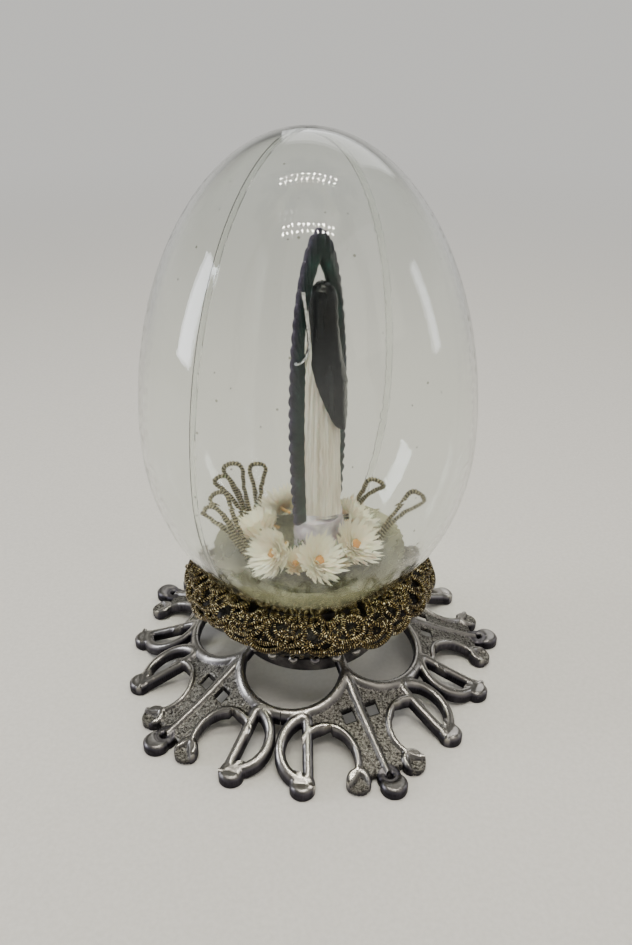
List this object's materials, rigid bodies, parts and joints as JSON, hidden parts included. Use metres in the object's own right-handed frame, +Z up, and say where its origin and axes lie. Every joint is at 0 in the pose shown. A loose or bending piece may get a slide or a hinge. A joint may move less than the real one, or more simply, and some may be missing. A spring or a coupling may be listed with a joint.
{
  "type": "clear display egg on filigree foot",
  "caption": "Clear two-half display egg with a robed figure, dried flowers and wire loops inside, standing in a gimp nest on a pierced cast foot.",
  "frame": {"origin": "On the foot's axis, which is also the egg's axis, at the level that the foot stands on.", "axes": "+Z up through the egg. The scene is looked at from -Y, with +X to the right. The seam of the two halves lies in the vertical plane through the axis at 54 degrees from +X."},
  "size_m": [0.1042, 0.1033, 0.141],
  "materials": {
    "pewter": "dark antiqued pewter casting with worn bright ridges",
    "metal_thread": "tarnished gold metal-thread braid",
    "clear_plastic": "clear moulded styrene, glossy, slightly hazed",
    "bed_resin": "translucent poured resin with a slight olive tint",
    "card": "thin matt disc",
    "lilac_plastic": "painted, pale lilac white",
    "cream_plastic": "painted ivory",
    "black_gloss": "glossy black paint",
    "green_plastic": "dark bottle green moulded plastic",
    "bright_wire": "bright silver wire",
    "petals": "dry papery cream petals with a yellow middle",
    "bullion": "crimped grey-gold wire"
  },
  "bodies": {
    "stand": {"cast_collar": "pewter", "bead_border": "pewter", "foot_sector_1": "pewter", "foot_sector_2": "pewter", "foot_sector_3": "pewter", "foot_sector_4": "pewter", "foot_sector_5": "pewter", "gimp_ring": "metal_thread", "gimp_front": "metal_thread"},
    "egg": {"shell_back": "clear_plastic", "resin_bed": "bed_resin", "scene_disc": "card", "cloud_plinth": "lilac_plastic", "figure_gown": "cream_plastic", "figure_head": "cream_plastic", "figure_hands": "cream_plastic", "figure_veil": "black_gloss", "arch_frame": "green_plastic", "binding_wire": "bright_wire", "flower_1": "petals", "flower_2": "petals", "flower_3": "petals", "flower_4": "petals", "flower_5": "petals", "flower_6": "petals", "flower_7": "petals", "bullion_loop_1": "bullion", "bullion_loop_2": "bullion", "bullion_loop_3": "bullion", "bullion_loop_4": "bullion", "bullion_loop_5": "bullion"},
    "front_half": {"shell_front": "clear_plastic"}
  },
  "joints": [
    {"name": "egg_lift", "type": "slide", "parent": "stand", "child": "egg", "axis": [0, 0, 1], "range_m": [0, 0.06]},
    {"name": "shell_open", "type": "slide", "parent": "egg", "child": "front_half", "axis": [-0.809, 0.5878, 0], "range_m": [0, 0.036]}
  ],
  "couplings": [
    {"joint": "shell_open", "follows": "egg_lift", "ratio": 0.6}
  ]
}
